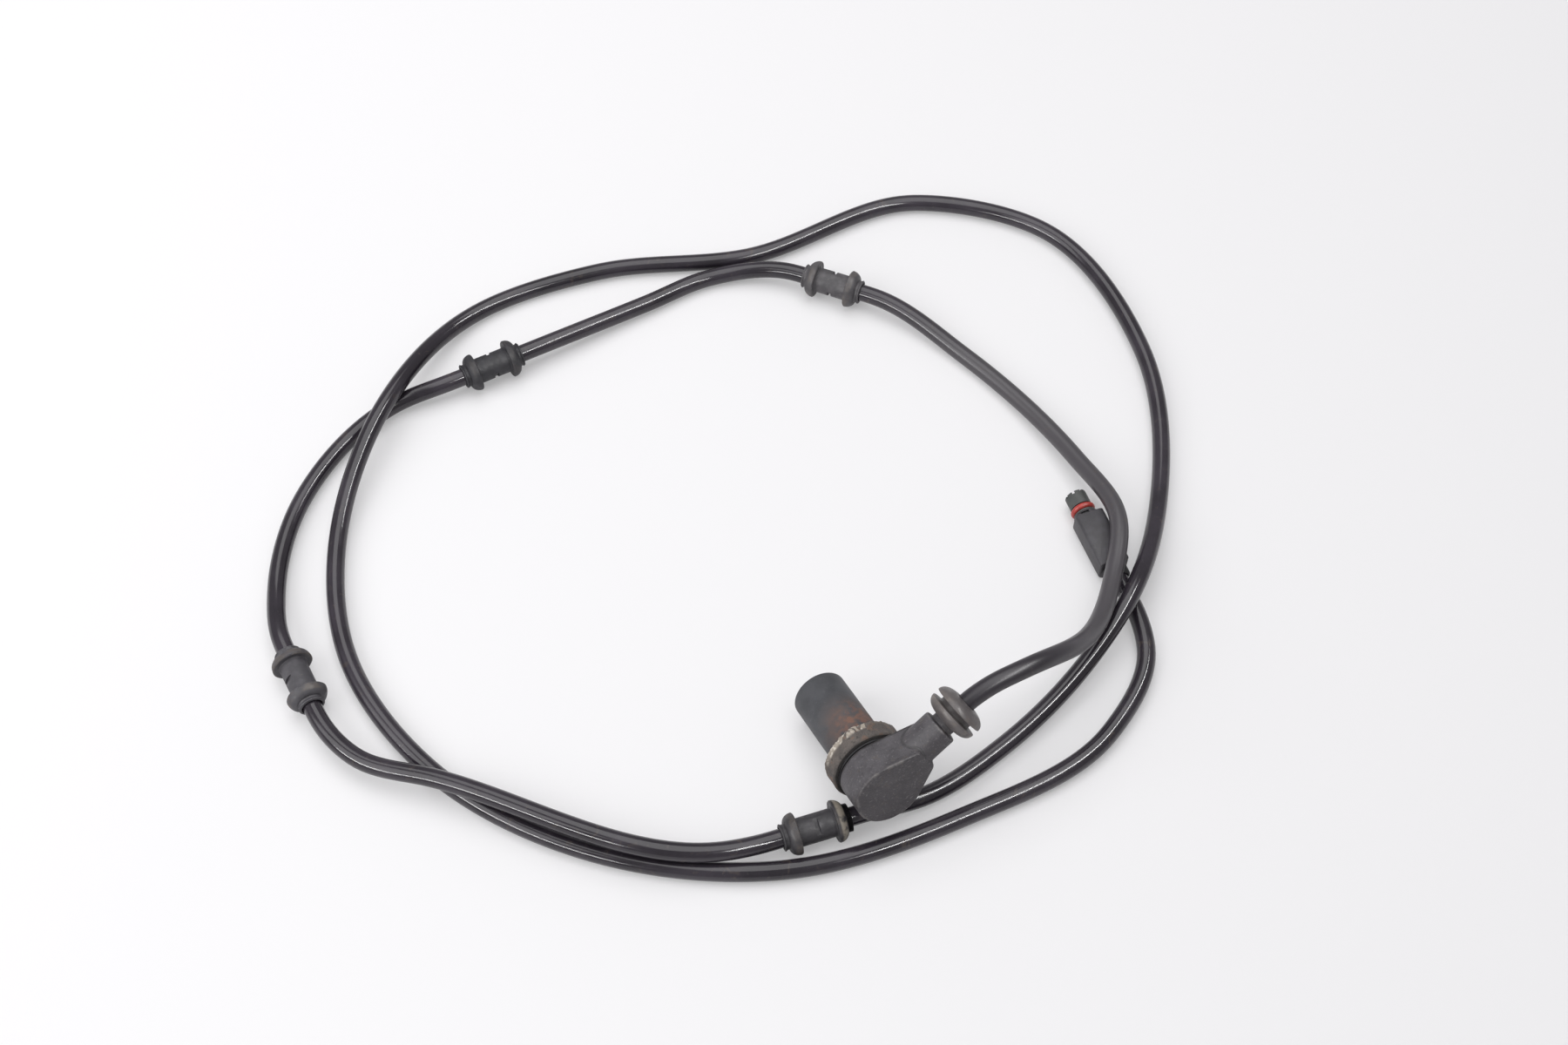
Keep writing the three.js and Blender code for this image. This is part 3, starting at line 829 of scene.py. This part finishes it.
# The cable's way along the surface, in metres, from where it has left the outlet to the plug.
# A grommet sits at each point that has a roll, in degrees.
route = [
    (0.0355, -0.0120, 0.0402),
    (0.0440, -0.0120, 0.0405),
    (0.0855, 0.0030, 0.0173),
    (0.0990, 0.0160, 0.0137),
    (0.1145, 0.0370, 0.0129),
    (0.1170, 0.0670, 0.0073),
    (0.1065, 0.1270, 0.0033),
    (0.0780, 0.1760, 0.0069, -39),
    (0.0395, 0.2020, 0.0035),
    (0.0135, 0.2010, 0.0039),
    (-0.0495, 0.1975, 0.0069, -30),
    (-0.0860, 0.1990, 0.0042),
    (-0.1315, 0.1735, 0.0036),
    (-0.1505, 0.1420, 0.0045),
    (-0.1545, 0.1055, 0.0069, -30),
    (-0.1480, 0.0705, 0.0073),
    (-0.1285, 0.0515, 0.0093),
    (-0.0550, -0.0125, 0.0082),
    (-0.0287, -0.0167, 0.0069, -67),
    (0.0075, -0.0215, 0.0040),
    (0.0395, -0.0170, 0.0034),
    (0.0745, -0.0055, 0.0056),
    (0.1000, 0.0075, 0.0113),
    (0.1350, 0.0410, 0.0044),
    (0.1655, 0.0990, 0.0036),
    (0.1630, 0.1670, 0.0035),
    (0.1265, 0.2005, 0.0034),
    (0.0565, 0.2050, 0.0035),
    (0.0035, 0.2235, 0.0035),
    (-0.0465, 0.2250, 0.0038),
    (-0.0910, 0.1950, 0.0111),
    (-0.1255, 0.1520, 0.0038),
    (-0.1375, 0.1090, 0.0033),
    (-0.1280, 0.0575, 0.0033),
    (-0.0925, 0.0075, 0.0035),
    (-0.0420, -0.0240, 0.0033),
    (0.0145, -0.0330, 0.0035),
    (0.0720, -0.0285, 0.0034),
    (0.0995, -0.0070, 0.0035),
    (0.1030, 0.0030, 0.0040),
]


# Extruded rubber: semi-gloss grey near the head, a dull stretch past the plug, then a glossy jacket.
# The stored value "along" is the distance from the head, in metres.
def cableRubber():
    material, tree, shader = newMaterial("cable jacket", "#2e2c30", 0.25)
    place = coordinates(tree)
    film = speckle(tree, place, 16, 0.3, 0.75)
    base = paint(tree, "#28242a", "#39343c", film)
    greyFrom = storedFade(tree, "along", 0.045, 0.085)
    greyTo = storedFade(tree, "along", 0.2, 0.27, 1.0, 0.0)
    base = paint(tree, base, "#484549", greyFrom, greyTo)
    base = paint(tree, base, "#5b5148", speckle(tree, place, 4, 0.6, 0.72, 6.0, 1.0), 0.3)
    base = paint(tree, base, "#7a7674", speckle(tree, place, 1.1, 0.7, 0.76, 8.0, 1.8), 0.4)
    gloss = addNode(tree, "ShaderNodeMapRange", span(film, 0, 1, 0.13, 0.2), interpolation_type="SMOOTHSTEP")
    dulled = storedFade(tree, "along", 0.2, 0.3, 0.36, 0.0)
    rough = addNode(tree, "ShaderNodeMath", {0: gloss.outputs["Result"], 1: dulled}, operation="MAXIMUM")
    dress(tree, shader, base, speckle(tree, place, 8, 0.2, 0.8, 1.0), 0.02, 0.2, rough.outputs[0])
    return material


def headingAt(index):
    way = np.array(route[index + 1][:3]) - np.array(route[index - 1][:3])
    way[2] = 0
    return way / np.linalg.norm(way)


def cablePoints():
    points = [np.array(outletMatrix @ Vector((0, y * mm, 0))) for y in cable["leadOff"]]
    for index, stop in enumerate(route):
        here = np.array(stop[:3])
        if len(stop) == 4:
            points += [here + headingAt(index) * along * mm for along in cable["straight"]]
        else:
            points.append(here)
    return points + [np.array(plugMatrix @ Vector((0, y * mm, 0))) for y in plug["cableEnd"]]


# A curve through the points, cut into even steps.
def smoothPath(points, pieces=30):
    points = [2 * points[0] - points[1], *points, 2 * points[-1] - points[-2]]
    path = []
    for a, b, c, d in zip(points, points[1:], points[2:], points[3:]):
        ab, bc, cd = (np.linalg.norm(q - p) for p, q in ((a, b), (b, c), (c, d)))
        start = ((b - a) / ab - (c - a) / (ab + bc) + (c - b) / bc) * bc
        end = ((c - b) / bc - (d - b) / (bc + cd) + (d - c) / cd) * bc
        second, third = 3 * (c - b) - 2 * start - end, 2 * (b - c) + start + end
        for k in range(pieces):
            t = k / pieces
            path.append(b + start * t + second * t**2 + third * t**3)
    path = np.array([*path, points[-2]])
    path[:, 2] = np.maximum(path[:, 2], cable["lowest"] * mm)
    travelled = np.r_[0, np.cumsum(np.linalg.norm(np.diff(path, axis=0), axis=1))]
    marks = np.linspace(0, travelled[-1], round(travelled[-1] / (cable["step"] * mm)))
    return np.array([np.interp(marks, travelled, path[:, k]) for k in range(3)]).T


def addCable(material):
    path = smoothPath(cablePoints())
    for _ in range(2):
        path[1:-1] = (path[:-2] + 2 * path[1:-1] + path[2:]) / 4
    travelled = np.r_[0, np.cumsum(np.linalg.norm(np.diff(path, axis=0), axis=1))]
    ways = np.gradient(path, axis=0)
    ways /= np.linalg.norm(ways, axis=1)[:, None]
    up = np.cross(ways[0], (0, 0, 1))
    vertices = []
    sides = cable["sides"]
    for place, way in zip(path, ways):
        up = up - way * up.dot(way)
        up /= np.linalg.norm(up)
        across = np.cross(way, up)
        for k in range(sides):
            turn = 2 * math.pi * k / sides
            rim = place + cable["radius"] * mm * (math.cos(turn) * up + math.sin(turn) * across)
            vertices.append(tuple(rim / mm))
    faces = bridged(len(path), sides)
    piece = addMesh("cableJacket", vertices, faces, material, Matrix.Identity(4), 60)
    mark = piece.data.attributes.new("along", "FLOAT", "POINT")
    mark.data.foreach_set("value", np.repeat(travelled, sides).astype(np.float32))
    finished(piece, "cable_jacket", "cable")
    print("cable length", round(travelled[-1], 3))


# The plug has its own frame: +Y out of its nose, 0 at the nose's tip. Heading in radians.
plug = {
    "at": (109.5, 54.9, 4.9),
    "heading": math.atan2(0.124, 0.992),
    "width": 10.4,
    "height": 9.6,
    "edge": 1.1,
    "keel": 2.8,
    "endEdge": 0.5,
    "front": -10.1,
    "back": -31.6,
    "end": -36.0,
    "bore": 3.4,
    "collarFront": -8.8,
    "collar": 4.35,
    "collarRound": 0.25,
    "window": ((-2.8, -10.1, 3.0), (0.4, -9.1, 5.0)),
    "rear": 4.3,
    "rearRound": 0.8,
    "cableEnd": (-40.0, -37.0, -30.6),
}
nose = {
    "radius": 3.8,
    "stem": 3.1,
    "stemEnd": -22.6,
    "round": 0.4,
    "step": -1.6,
    "recess": 1.3,
    "recessWall": 1.2,
    "slots": 4,
    "slotDepth": 1.0,
    "slotHalf": 0.45,
}
ring = {"place": -6.6, "section": 1.0, "outer": 4.4, "clear": 0.3}
plugMatrix = Matrix.Translation(Vector(plug["at"]) * mm) @ Matrix.Rotation(-plug["heading"], 4, "Z")


# Silicone: a faded red in two shades.
def sealSilicone():
    material, tree, shader = newMaterial("silicone", "#b8403a", 0.4)
    base = paint(tree, "#b63f38", "#9c3833", speckle(tree, coordinates(tree), 2, 0.4, 0.7))
    tree.links.new(base, shader.inputs["Base Color"])
    return material


# A rectangle with rounded corners, larger at the keel.
def plugSection(inset, steps=5):
    x, z = plug["width"] / 2 - inset, plug["height"] / 2 - inset
    edge, keel = plug["edge"], plug["keel"]
    points = []
    for side, start in ((1, 0), (-1, 90)):
        points += arc(side * (x - edge), z - edge, edge, start, start + 90, steps)
    for side, start in ((-1, 180), (1, 270)):
        points += arc(side * (x - keel), keel - z, keel, start, start + 90, steps)
    return points


def addPlugBody(material):
    rings = eased(plug["endEdge"], plug["back"], plug["endEdge"])
    rings += [(inset, plug["front"] + plug["back"] - y) for inset, y in reversed(rings)]
    vertices = [(x, y, z) for inset, y in rings for x, z in plugSection(inset)]
    faces = bridged(len(rings), len(vertices) // len(rings))
    shell = addMesh("plugShell", vertices, faces, material, plugMatrix, 40)
    size = plug["collarRound"]
    collar = [
        (plug["bore"], plug["front"] - 0.5),
        (plug["collar"], plug["front"] - 0.5),
        *arc(plug["collar"] - size, plug["collarFront"] - size, size, 0, 90, 4),
        (plug["bore"], plug["collarFront"]),
    ]
    front = addMesh("plugCollar", *turned(collar, 64), material, plugMatrix, 40)
    cutBox(front, *plug["window"])
    return finished(joined("plugBody", [shell, front]), "plug_plastic", "plug_body")


def addPlugInsert(material):
    radius, size, wall = nose["radius"], nose["round"], nose["recessWall"]
    reach = ring["section"] + ring["clear"]
    groove = ring["outer"] - 2 * ring["section"] - ring["clear"]
    rear = plug["collarFront"] + 0.3
    outline = [
        (0, nose["stemEnd"]),
        (nose["stem"], nose["stemEnd"]),
        (nose["stem"], rear),
        (radius, rear),
        (radius, ring["place"] - reach),
        (groove, ring["place"] - reach),
        (groove, ring["place"] + reach),
        (radius, ring["place"] + reach),
        (radius, nose["step"]),
        *arc(radius - size, -size, size, 0, 90, 6),
        (radius - wall, 0),
        (radius - wall, -nose["recess"]),
        (0, -nose["recess"]),
    ]
    piece = addMesh("plugNose", *capped(outline, 64), material, plugMatrix, 40)
    wide, deep = nose["slotHalf"], nose["slotDepth"]
    for i in range(nose["slots"]):
        turn = math.pi * (i + 0.5) / nose["slots"]
        cutBox(piece, (-radius - 1, -deep, -wide), (radius + 1, deep, wide), turn)
    shade(piece, 40)
    return finished(piece, "plug_plastic", "plug_insert")


def addPlugRing(material):
    outline = arc(ring["outer"] - ring["section"], ring["place"], ring["section"], 0, 345, 23)
    piece = addMesh("plugRing", *turned(outline, 72), material, plugMatrix, 60)
    return finished(piece, "ring_silicone", "plug_seal_ring")


def addPlugRearSeal(material):
    end, radius, size = plug["end"], plug["rear"], plug["rearRound"]
    front = plug["back"] - 0.3
    outline = [
        (plug["bore"], end),
        *arc(radius - size, end + size, size, -90, 0, 6),
        (radius, front),
        (plug["bore"], front),
    ]
    piece = addMesh("plugRearSeal", *turned(outline, 72), material, plugMatrix, 40)
    return finished(piece, "rubber", "plug_rear_seal")


# The pieces inside the head and the plug keep the CAD's shapes and get real finishes.
def dressInside():
    tin = mottled("tinned brass", "#b5b3ad", "#c6c4bf", 0.35, Metallic=1.0)
    finishes = {
        "pole_pin": mottled("soft iron", "#55565a", "#616266", 0.4, Metallic=0.9),
        "magnet": mottled("sintered ferrite", "#3c3c3f", "#48484b", 0.55),
        "coil_bobbin": mottled("natural nylon", "#cfc8b6", "#dad4c4", 0.45),
        "coil_winding": mottled("enamelled copper", "#a4592c", "#b96a38", 0.3, Metallic=1.0),
        "lead_wire_a": mottled("brown insulation", "#5b3a28", "#674431", 0.4),
        "lead_wire_b": mottled("black insulation", "#1f1e21", "#2a292c", 0.4),
    }
    for name in ("terminal_a", "terminal_b", "crimp_a", "crimp_b", "plug_contact_a", "plug_contact_b"):
        finishes[name] = tin
    for name, material in finishes.items():
        nodes[name].data.materials.clear()
        nodes[name].data.materials.append(material)


# The paper's glow, painted light, dims from start to end metres along a direction; share is how much of it
# glows by itself.
paper = {
    "colour": "#f3f2f4",
    "roughness": 0.95,
    "reach": 3000,
    "direction": (0.893, -0.451, 0),
    "start": -0.3,
    "end": 0.35,
    "dimmest": 0.68,
    "share": 0.32,
}
sky = {"colour": "#f8f7f9", "strength": 0.4}
# Name, place, target and size in metres, and power in watts.
middle = (0.0, 0.1, 0.0)
softboxes = [
    ("leftSoftbox", (-1.2, 0.2, 1.1), middle, (1.2, 1.2), 11),
    ("overheadSoftbox", (0.2, 0.5, 1.6), (0.2, 0.45, 0), (1.3, 1.9), 17),
]
# Two narrow lights, seen only as bright lines on what is glossy.
strips = [
    ("leftStrip", (-1.4, -0.3, 0.65), middle, (1.3, 0.08), 14),
    ("rightStrip", (0.5, -0.35, 1.05), middle, (1.3, 0.07), 14),
]


# White paper: matt. The camera sees it partly lit by itself, so that its shadows stay faint.
def paperFloor():
    material, tree, shader = newMaterial("white paper", paper["colour"], paper["roughness"])
    place = addNode(tree, "ShaderNodeNewGeometry").outputs["Position"]
    across = addNode(tree, "ShaderNodeVectorMath", {0: place, 1: paper["direction"]}, operation="DOT_PRODUCT")
    limits = span(across.outputs["Value"], paper["start"], paper["end"], 1.0, paper["dimmest"])
    strength = addNode(tree, "ShaderNodeMapRange", limits).outputs["Result"]
    glow = addNode(tree, "ShaderNodeEmission", {"Color": "#ffffff", "Strength": strength})
    rays = addNode(tree, "ShaderNodeLightPath").outputs
    seen = rays["Is Camera Ray"]
    for kind in ("Is Glossy Ray", "Is Transmission Ray"):
        either = addNode(tree, "ShaderNodeMath", {0: seen, 1: rays[kind]}, operation="ADD", use_clamp=True)
        seen = either.outputs[0]
    share = overlap(tree, seen, paper["share"])
    mixed = addNode(tree, "ShaderNodeMixShader", {0: share, 1: shader.outputs[0], 2: glow.outputs[0]})
    tree.links.new(mixed.outputs[0], tree.nodes["Material Output"].inputs["Surface"])
    return material


def addLamp(name, place, target, size, power):
    data = bpy.data.lights.new(name, "AREA")
    data.shape = "RECTANGLE"
    data.size, data.size_y = size
    data.energy = power
    lamp = bpy.data.objects.new(name, data)
    lamp.location = place
    lamp.rotation_euler = (Vector(target) - Vector(place)).to_track_quat("-Z", "Y").to_euler()
    scene.collection.objects.link(lamp)
    return lamp


def addStudio():
    scene.view_settings.view_transform = "Standard"
    world = bpy.data.worlds.new("studio")
    world.use_nodes = True
    scene.world = world
    background = world.node_tree.nodes["Background"]
    background.inputs["Color"].default_value = linear(sky["colour"])
    background.inputs["Strength"].default_value = sky["strength"]
    reach = paper["reach"]
    corners = [(-reach, -reach, 0), (reach, -reach, 0), (reach, reach, 0), (-reach, reach, 0)]
    addMesh("floor", corners, [(0, 1, 2, 3)], paperFloor(), Matrix.Identity(4))
    for softbox in softboxes:
        addLamp(*softbox)
    for strip in strips:
        addLamp(*strip).visible_diffuse = False


def main():
    addCamera()
    print("camera placed")
    darkRubber = mottled("dark rubber", "#1b1a1d", "#242326", 0.6)
    addBarrel(barrelSteel())
    addFlange(flangePlate())
    addFlangeSeal(darkRubber)
    addHousing(housingPlastic())
    print("head dressed")
    onIt = [addBracketGrommet(oldRubber(discLook))]
    for index, stop in enumerate(route):
        if len(stop) == 4:
            count = len(onIt)
            rubber = oldRubber(spoolLooks[count - 1])
            ribbed = count == len(spoolLooks)  # Only the last one has ribs.
            onIt.append(addSpoolGrommet(count, Vector(stop[:3]), headingAt(index), stop[3], rubber, ribbed))
    print("grommets dressed")
    onIt += [
        addPlugBody(plugPlastic("glass filled nylon", "#39373b", "#424045")),
        addPlugInsert(plugPlastic("insert nylon", "#414443", "#4b4e4d")),
        addPlugRing(sealSilicone()),
        addPlugRearSeal(darkRubber),
        nodes["plug_contact_a"],
        nodes["plug_contact_b"],
    ]
    dressInside()
    print("plug and inside dressed")
    addCable(cableRubber())
    print("cable laid")
    addStudio()
    print("lights and paper placed")


main()
